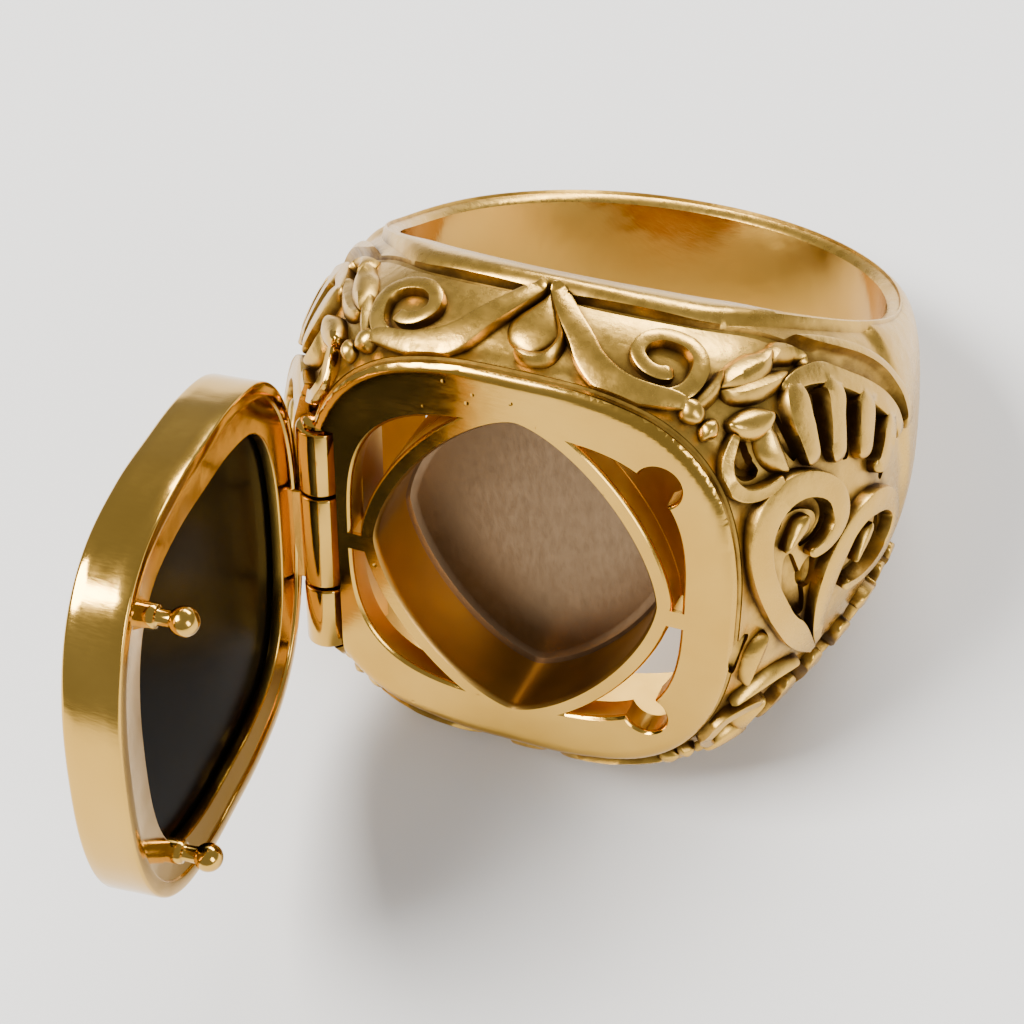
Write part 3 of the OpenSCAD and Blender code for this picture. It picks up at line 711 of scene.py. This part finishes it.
def allRibbons(upper, side, middle=()):
    # upper strokes are drawn four times, the others twice, and joined
    made = [ribbon(*stroke, turnAngle, turnRise)
            for stroke in upper for turnAngle in (1, -1) for turnRise in (1, -1)]
    made += [ribbon(*stroke, 1, turnRise) for stroke in middle for turnRise in (1, -1)]
    made += [ribbon(*stroke, turnAngle, 1) for stroke in side for turnAngle in (1, -1)]
    return combine(made[0], made[1:], "UNION")


gridValues = {
    "columns": 216, "fineHalf": 73, "fineShare": 0.76,  # most columns lie within 73 degrees
    "skinRows": 112, "boreRows": 8, "boreEdge": 0.26,  # share of the bore that is rounded
    "shoulder": 38.0, "riseSteps": 4001, "hollowColumns": 60, "hollowRows": 96,
}


def columnAngle(u):
    # most columns lie on the ornament, the rest round the shank
    half, share = gridValues["fineHalf"], gridValues["fineShare"]
    return np.interp(u, [0, (1 - share) / 2, (1 + share) / 2, 1], [-180, -half, half, 180])


def evenRise(share):
    # rise at an even spacing along the dome's curve, at the shoulder's section
    rise = np.linspace(-90, 90, gridValues["riseSteps"])
    length = lengthAlong(domePoint(np.full_like(rise, gridValues["shoulder"]), rise))
    return np.interp(share, length / length[-1], rise)


def clampToFace(points):
    # the dome is cut flat in front, with a softly rounded edge
    depth = np.maximum(-points[:, 1], 1e-6)
    k = reliefValues["faceSoftness"]
    h = np.clip(0.5 + 0.5 * (faceSet - depth) / k, 0, 1)
    limited = faceSet * (1 - h) + depth * h - k * h * (1 - h)
    share = np.where(points[:, 1] < 0, limited / depth, 1)
    return points * np.stack([share, share, np.ones_like(share)], 1)


def castingSurface():
    # the smooth outer skin and the bore behind it, as one closed tube
    skin, bore, edgeShare = gridValues["skinRows"], gridValues["boreRows"], gridValues["boreEdge"]
    rows, edge = skin + bore, reliefValues["boreRound"]
    lipFrom, lipUp, lipDown = reliefValues["rimLip"]

    def shape(u, v):
        angle = columnAngle(u)
        row = nearest(v * rows) % rows
        rise = evenRise(np.clip(row / skin, 0, 1))
        lip = (reliefValues["rimHeight"] * smoothStep((np.abs(rise) - lipFrom) / lipUp)
               * smoothStep((90 - np.abs(rise)) / lipDown))
        outside = clampToFace(domePoint(angle, rise, groundSink(angle, rise))
                              + lip[:, None] * domeNormal(angle, rise))
        # from the upper edge back down the bore
        share = np.clip((row - skin) / bore, 0, 1)
        half = halfWidth(angle)
        ease = np.clip(np.minimum(share, 1 - share) / edgeShare, 0, 1)
        r = rimRadius + (fingerRadius - rimRadius) * np.sin(ease * pi / 2)
        drop = edge * (1 - np.cos(ease * pi / 2))
        z = (half - edge) * np.cos(np.clip((share - 0.25) / 0.5, 0, 1) * pi)
        z = np.where(share < edgeShare, half - drop, np.where(share > 1 - edgeShare, drop - half, z))
        return np.where((row <= skin)[:, None], outside, roundFinger(r, angle, z))

    return shapedGrid("ringCasting", gridValues["columns"], rows, shape)


cupSizes = {
    "width": 10.6, "height": 12.7, "fullness": 1.52, "deep": 3.0, "wall": 0.7, "floor": 0.7,
    "lip": [(-0.12, -1), (-0.12, 0.0), (-0.03, 0.11), (0, 0.26)],  # (inset, depth) of the rounded lip
    "foot": [(0, 0.3), (0.09, 0.09), (0.3, 0), (0.4, 0)],  # (inset, height) where the wall meets the floor
}
plateSizes = {
    "wall": 1.1, "edge": 1.9, "plate": 1.0, "hollowEnd": 42, "hollowInto": 1.5,
    "frame": 1.75, "openingShorter": 0.3, "openingFullness": 3.2, "chamfer": 0.16, "flare": 0.13,
    "notch": 0.8, "notchX": 5.2, "notchZ": 5.1, "notchFlare": 0.1, "notchSides": 48,
    "neck": 0.7, "neckDrop": 0.35, "cutPast": 0.05,  # cutters go this far through the plate
}
hingeSizes = {
    "x": 7.8, "y": 13.5, "radius": 0.85, "top": 3.9, "low": -5.9, "knuckle": 2.8, "knuckleGap": 0.08,
    "knuckleRound": 0.09, "pin": 0.35, "runGap": 0.05, "seatGap": 0.12, "inFromFace": 0.9, "sides": 64,
    "head": 0.6, "headThick": 0.25, "headGap": 0.03, "edgeShare": 0.68, "bedWall": 0.7, "cutReach": 4,
}
cupLoop = roundedLoop(cupSizes["width"], cupSizes["height"], cupSizes["fullness"])
toHinge = Matrix.Translation((-hingeSizes["x"], -hingeSizes["y"], 0))


def hollowCutter():
    # the inside of the head, which the face plate closes in front
    end, wall = plateSizes["hollowEnd"], plateSizes["wall"]
    rows, inner = gridValues["hollowRows"], fingerRadius - plateSizes["hollowInto"]
    limit = headHalf - plateSizes["edge"]

    def shape(u, v):
        angle = (2 * u - 1) * end
        row = nearest(v * rows)
        rise = -90 + 180 * np.clip((row - 2) / (rows - 4), 0, 1)
        points = domePoint(angle, rise, wall)
        half = halfWidth(angle) - wall
        low = (row < 2) | (row == rows)  # these rows close the form behind
        back = roundFinger(inner, angle, np.where(low, -half, half))
        points = np.where((low | (row == rows - 1))[:, None], back, points)
        points[:, 1] = np.maximum(points[:, 1], -faceSet + plateSizes["plate"])
        points[:, 2] = np.clip(points[:, 2], -limit, limit)
        return points

    return shapedGrid("hollow", gridValues["hollowColumns"], rows, shape)


def cornerOpenings():
    # one rounded square, less the cup's wall and the neck between the left openings
    frameWide = 2 * plateSizes["frame"]
    inner = roundedLoop(faceWidth - frameWide, faceHeight - frameWide - plateSizes["openingShorter"],
                        plateSizes["openingFullness"])
    cup = insetLoop(cupLoop, -cupSizes["wall"] + 0.03)
    back = plateSizes["plate"] + plateSizes["cutPast"]
    opening = prism("openings", inner, plateSizes["flare"], -1, back)
    kept = prism("keptCup", cup, -plateSizes["notchFlare"], -2, back + 1)
    neckLow = -plateSizes["neckDrop"] - plateSizes["neck"] / 2
    neck = box("keptNeck", (-faceWidth, -faceSet - 2, neckLow),
               (faceWidth, -faceSet + back + 1, neckLow + plateSizes["neck"]))
    return combine(opening, [kept, neck], "DIFFERENCE")


def notchCutter(side):
    # side is 1 for the upper notch and -1 for the lower one
    t = np.linspace(0, 2 * pi, plateSizes["notchSides"], endpoint=False)
    radius, x, z = plateSizes["notch"], plateSizes["notchX"], side * plateSizes["notchZ"]
    loop = np.stack([x + radius * np.cos(t), z + radius * np.sin(t)], 1)
    return prism("notch", loop, plateSizes["notchFlare"], -1, plateSizes["plate"] + plateSizes["cutPast"])


def hingeSeat():
    # what is cut away for the knuckles, the pin's head and the swinging bezel
    h, x, y = hingeSizes, -hingeSizes["x"], -hingeSizes["y"]
    gap, radius, far = h["seatGap"], h["radius"], h["cutReach"]
    pinTop = h["top"] + h["headGap"] + h["headThick"] + gap
    front = box("seatFront", (x - far, y - far, h["low"] - gap), (x + radius + gap, y, pinTop))
    head = hingeRod("seatHead", h["head"] + gap, h["top"] - 0.01, pinTop)
    edgeHalf = h["edgeShare"] * faceHeight / 2
    edge = box("seatEdge", (x - radius / 2 - far, y - far + 1, -edgeHalf),
               (x - radius / 2, y + radius / 2, edgeHalf))
    middle = hingeRod("seatMiddle", radius + gap, h["low"] + h["knuckle"], h["top"] - h["knuckle"])
    return [front, edge, head, middle]


def insideShell(points, below, inwards):
    # whether points lie this far under the head's skin, and this far in along the finger
    angle = np.degrees(np.arctan2(points[:, 0], -points[:, 1]))
    radius = np.hypot(points[:, 0], points[:, 1])
    k = np.clip((radius + below - rimRadius) / (reach(angle) - rimRadius), 0, 1)
    n = sectionAt(angle, "fullness")
    room = halfWidth(angle) * (1 - k**n) ** (1 / n)
    return ((np.abs(points[:, 2]) < room - inwards) & (radius > fingerRadius + 0.1)
            & (np.abs(angle) < plateSizes["hollowEnd"] + 0.5))


print("making the casting")
casting = castingSurface()
raised = allRibbons(upperStrokes, sideStrokes, tearStrokes)
beyond = 20  # past the ring on every side
front = box("front", (-beyond, -faceSet - 5, -beyond), (beyond, -faceSet + 0.04, beyond))
combine(raised, [front], "DIFFERENCE")
combine(casting, [raised], "UNION")
edgeBehind, edgeHalf, edgeDeep = reliefValues["edgeLine"]
edgeStroke = ("groove", edgeDeep, faceEdgePath(edgeBehind, edgeHalf))
combine(casting, [allRibbons(upperGrooves + [edgeStroke], sideGrooves)], "DIFFERENCE")
print("ornament laid on")

h = hingeSizes
hollow = hollowCutter()
bed = box("bed", (-h["x"] - h["cutReach"], -h["y"] - h["inFromFace"] + 0.02, h["low"]),
          (-h["x"] + h["radius"] + h["bedWall"], -h["y"] + h["radius"] + plateSizes["wall"], h["top"]))
combine(hollow, [bed], "DIFFERENCE")
combine(casting, [hollow], "DIFFERENCE")
cupDeep, cupOut = cupSizes["deep"], -cupSizes["wall"]
cup = insetLoft("cup", cupLoop, [(cupOut + 0.3, 0.6), (cupOut + 0.3, 0.95), (cupOut, 0.99),
                                 (cupOut, cupDeep + cupSizes["floor"])])
combine(casting, [cup], "UNION")
foot = [(inset, cupDeep - height) for inset, height in cupSizes["foot"]]
space = insetLoft("space", cupLoop, cupSizes["lip"] + foot)
combine(casting, [space, cornerOpenings(), notchCutter(1), notchCutter(-1)] + hingeSeat(), "DIFFERENCE")
knuckle = h["knuckle"] - h["knuckleGap"]
lower = hingeRod("lowerKnuckle", h["radius"], h["low"], h["low"] + knuckle, h["knuckleRound"])
upper = hingeRod("upperKnuckle", h["radius"], h["top"] - knuckle, h["top"], h["knuckleRound"])
combine(casting, [lower, upper], "UNION")
bore = hingeRod("bore", h["pin"] + h["runGap"], h["low"] - h["headGap"], h["top"] + 1)
combine(casting, [bore], "DIFFERENCE")
print("head hollowed, compartment and knuckles made")

# Which finish each face gets, from where it lies
castingSlots = ["cast", "face", "polished", "floor", "inner", "hollow"]
slotOf = {name: i for i, name in enumerate(castingSlots)}
cleanMesh(casting.data)
centres = np.array([p.center for p in casting.data.polygons])
normals = np.array([p.normal for p in casting.data.polygons])
x, y, z = centres.T
depth = y + faceSet
cupEdge = (np.abs(x / (cupSizes["width"] / 2 + 0.2)) ** cupSizes["fullness"]
           + np.abs(z / (cupSizes["height"] / 2 + 0.2)) ** cupSizes["fullness"])
inCup = (cupEdge < 1.02) & (depth > 0.02) & (depth < cupDeep + 0.1)
onKnuckle = np.hypot(x + h["x"], y + h["y"]) < h["radius"] + 0.02
choice = np.full(len(centres), slotOf["cast"], np.int32)
choice[(depth > 0.3) & insideShell(centres, 0.85, 0.5)] = slotOf["hollow"]
choice[(depth < plateSizes["chamfer"]) & (np.hypot(x, z) < 12)] = slotOf["face"]
choice[inCup] = slotOf["inner"]
choice[inCup & (depth > cupDeep - 0.25) & (normals[:, 1] < -0.3)] = slotOf["floor"]
choice[(np.hypot(x, y) < fingerRadius + 0.05) | onKnuckle] = slotOf["polished"]
casting.data.polygons.foreach_set("material_index", choice)
finishPiece(casting, [finishes[name] for name in castingSlots], "ring", "ring_body", 36)

lidSizes = {
    "thick": 1.95, "bezel": 0.55, "ledge": 1.85, "ledgeStep": 0.12, "ledgeThick": 0.45, "closeGap": 0.06,
    "leafThick": 0.6, "leafInset": 0.02, "leafBack": 0.45, "leafRound": 0.06,
    "open": 84, "columns": 320, "cornerPoints": 4,
}
openLid = toHinge @ Matrix.Rotation(radians(-lidSizes["open"]), 4, "Z") @ toHinge.inverted()
outline = faceOutline(lidSizes["columns"])
inward = inwardWay(outline)
ledgeTop = lidSizes["ledgeStep"] + lidSizes["ledgeThick"]
ledgeMiddle = lidSizes["ledgeStep"] + lidSizes["ledgeThick"] / 2
lidFoot = -faceSet - lidSizes["closeGap"]


def lidPoints(u, inset, height, pull=1.0):
    # points of the closed lid: u round its outline, inset from it, height above its underside
    column = nearest(u * lidSizes["columns"]) % lidSizes["columns"]
    flat = (outline[column] + inset[:, None] * inward[column]) * pull
    return np.stack([flat[:, 0], lidFoot - height, flat[:, 1]], 1)


def lidSweep(name, profile):
    # profile: (inset, height) points, as a closed loop
    rows = len(profile)
    points = np.array(profile + [profile[0]])

    def shape(u, v):
        inset, height = points[nearest(v * rows)].T
        return lidPoints(u, inset, height)

    return shapedGrid(name, lidSizes["columns"], rows, shape)


def corner(inset, height, radius, fromTurn):
    # a rounded corner of the profile, round its centre
    return [(inset + radius * cos(radians(a)), height + radius * sin(radians(a)))
            for a in np.linspace(fromTurn, fromTurn - 90, lidSizes["cornerPoints"])]


def bezelProfile():
    # up from the outer lower edge, over the rim, down to the ledge and back underneath
    thick, bezel, ledge, step = (lidSizes[key] for key in ("thick", "bezel", "ledge", "ledgeStep"))
    low, outer, rim, soft, foot = 0.1, 0.13, 0.12, 0.07, 0.04  # radii of the roundings
    return (corner(low, low, low, 270) + [(0, 0.5), (0, 1.0), (0, 1.5)]
            + corner(outer, thick - outer, outer, 180) + corner(bezel - rim, thick - rim, rim, 90)
            + [(bezel, 1.2), (bezel, ledgeTop + 0.02), (bezel + 0.03, ledgeTop)]
            + corner(ledge - soft, ledgeTop - soft, soft, 90) + corner(ledge - soft, step + soft, soft, 0)
            + [(bezel + 0.08, step), (bezel + 0.03, step - 0.02)] + corner(bezel - foot, foot, foot, 0))


catchSizes = {
    "ball": 0.5, "ballSet": 1.2, "post": 0.275, "collarShare": 1.55, "sides": 40,
    "collar": [(0, 0.25), (0.04, 0.33), (0.12, 0.36)],  # (in from the collar's side, height)
    "neck": [(0.02, 0.38), (0, 0.44)],  # (out from the post's side, height)
}


def catchPin(side):
    # side is 1 for the upper pin and -1 for the lower one
    c = catchSizes
    wide = c["post"] * c["collarShare"]
    profile = [(0, -ledgeMiddle), (wide, -ledgeMiddle)] + [(wide - out, height) for out, height in c["collar"]]
    profile += [(c["post"] + out, height) for out, height in c["neck"]]
    profile += [(c["ball"] * sin(radians(a)), c["ballSet"] - c["ball"] * cos(radians(a)))
                for a in range(36, 180, 12)]
    obj = turned("catchPin", profile + [(0, c["ballSet"] + c["ball"])], c["sides"])
    place = (plateSizes["notchX"], lidFoot, side * plateSizes["notchZ"])
    obj.data.transform(Matrix.Translation(place) @ Matrix.Rotation(radians(-90), 4, "X"))
    return obj


print("making the lid")
lid = lidSweep("lidBezel", bezelProfile())
s = lidSizes
leafTop = h["top"] - h["knuckle"] - h["knuckleGap"]
leafLow = h["low"] + h["knuckle"] + h["knuckleGap"]
leafFrom = -faceWidth / 2 + s["leafInset"]
leaf = box("leaf", (leafFrom, lidFoot - ledgeMiddle, leafLow + s["leafInset"]),
           (leafFrom + s["leafThick"], -h["y"] - s["leafBack"], leafTop - s["leafInset"]), s["leafRound"])
middleKnuckle = hingeRod("middleKnuckle", h["radius"], leafLow, leafTop, h["knuckleRound"])
combine(lid, [leaf, middleKnuckle, catchPin(1), catchPin(-1)], "UNION")
combine(lid, [hingeRod("lidBore", h["pin"] + h["runGap"], h["low"] - 1, h["top"] + 1)], "DIFFERENCE")
lid.data.transform(openLid)
finishPiece(lid, [finishes["polished"]], "lid", "lid_bezel", 35)

stoneSizes = {"rise": 0.25, "gap": 0.05, "flatInset": 2.4, "third": 8}


def stoneShape():
    # a low cushion: a third of the rows each for its back, edge and front
    thick, third, inner = lidSizes["thick"], stoneSizes["third"], stoneSizes["flatInset"]
    edge, seat = lidSizes["bezel"] + stoneSizes["gap"], ledgeTop + stoneSizes["gap"]
    top = thick + stoneSizes["rise"]
    points = np.array([
        (inner, seat), (edge + 0.06, seat), (edge, seat + 0.06), (edge, thick - 0.2),
        (edge + 0.05, thick - 0.11), (edge + 0.3, thick + 0.02), (edge + 0.65, top - 0.06),
        (edge + 1.2, top - 0.01), (inner, top)])

    def shape(u, v):
        row = nearest(v * 3 * third)
        inset, height = points[np.clip(row - third, 0, len(points) - 1)].T
        pull = np.minimum(np.minimum(row, 3 * third - row) / third, 1)
        return lidPoints(u, inset, height, pull[:, None])

    return shapedGrid("onyxPlaque", lidSizes["columns"], 3 * third, shape)


stone = stoneShape()
stone.data.transform(openLid)
finishPiece(stone, [finishes["onyx"]], "lid", "onyx_plaque", 50)

pinSizes = {
    "sides": 48, "bevel": 0.08, "headTop": 0.28,  # head: (out, up) from the hinge's upper end
    "head": [(0, 0.03), (0.2, 0.03), (0.25, 0.08), (0.22, 0.18), (0.05, 0.27)],
}
radius, bevel = h["pin"], pinSizes["bevel"]
profile = [(0, h["low"]), (radius - bevel, h["low"]), (radius, h["low"] + bevel)]
profile += [(radius + out, h["top"] + up) for out, up in pinSizes["head"]]
pin = turned("hingePin", profile + [(0, h["top"] + pinSizes["headTop"])], pinSizes["sides"])
pin.data.transform(toHinge)
finishPiece(pin, [finishes["polished"]], "ring", "hinge_pin", 35)

# Table, light and camera, in metres on the table
studioValues = {
    "floorColor": (0.80, 0.79, 0.77), "floorShade": (0.77, 0.76, 0.74), "floorHalf": 1.5, "floorPattern": 30,
    "skyColor": (0.93, 0.95, 1.0), "skyPower": 0.38,
}
softLights = {  # place, size, power and colour; all of them look at the ring
    "keySoft": ((-0.16, -0.10, 0.26), (0.16, 0.12), 2.4, (1.0, 0.98, 0.95)),
    "fillSoft": ((0.24, -0.12, 0.14), (0.10, 0.16), 0.5, (1, 1, 1)),
    "backSoft": ((0.02, 0.26, 0.18), (0.24, 0.08), 1.3, (1, 1, 1)),
}
# Worked out from the photograph, in degrees, millimetres and pixels, in the ring's own frame
cameraValues = {
    "yaw": 17.9626, "pitch": 35.6749, "roll": 2.2124, "target": (1.0522, -7.7118, 0.0), "distance": 82.4047,
    "focalPixels": 2174.87, "widePixels": 1024, "sensor": 36, "shift": (-0.0881, -0.0338), "clip": (0.005, 10),
}


def studio():
    v, lowest = studioValues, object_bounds()[0][2]
    bm = bmesh.new()
    bmesh.ops.create_grid(bm, x_segments=1, y_segments=1, size=v["floorHalf"])
    bmesh.ops.translate(bm, verts=bm.verts, vec=(0, 0, lowest))
    floor = newObject("studioFloor", bm)
    f = Finish("paleFloor", Roughness=0.6)
    tone = f.ramp(f.noise(v["floorPattern"], 3), [(0.2, v["floorShade"]), (0.8, v["floorColor"])])
    floor.data.materials.append(f.connect(tone, None, None))
    floor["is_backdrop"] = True
    world = bpy.data.worlds.new("studio")
    world.use_nodes = True
    sky = world.node_tree.nodes["Background"]
    sky.inputs["Color"].default_value = (*v["skyColor"], 1)
    sky.inputs["Strength"].default_value = v["skyPower"]
    bpy.context.scene.world = world


def softLight(name, place, size, power, color):
    light = bpy.data.lights.new(name, "AREA")
    light.shape = "RECTANGLE"
    light.size, light.size_y = size
    light.energy = power
    light.color = color
    obj = inScene(name, light)
    obj.location = place
    obj.rotation_euler = (-Vector(place)).to_track_quat("-Z", "Y").to_euler()


def photoCamera():
    c = cameraValues
    yaw, pitch, roll = radians(c["yaw"]), radians(c["pitch"]), radians(c["roll"])
    back = Vector((sin(yaw) * cos(pitch), -cos(yaw) * cos(pitch), sin(pitch)))
    level = Vector((cos(yaw), sin(yaw), 0))
    upright = back.cross(level)
    right, up = cos(roll) * level + sin(roll) * upright, -sin(roll) * level + cos(roll) * upright
    basis = Matrix((right, up, back)).transposed().to_4x4()
    basis.translation = Vector(c["target"]) + c["distance"] * back
    data = bpy.data.cameras.new("photoCamera")
    data.sensor_fit = "HORIZONTAL"
    data.sensor_width = c["sensor"]
    data.lens = c["focalPixels"] / c["widePixels"] * c["sensor"]
    data.shift_x, data.shift_y = c["shift"]
    data.clip_start, data.clip_end = c["clip"]
    place = lieDown @ basis
    place.translation *= toMetres
    camera = inScene("photoCamera", data)
    camera.matrix_world = place
    bpy.context.scene.camera = camera


studio()
for name, values in softLights.items():
    softLight(name, *values)
photoCamera()
print("table, light and camera set")

bpy.context.view_layer.update()
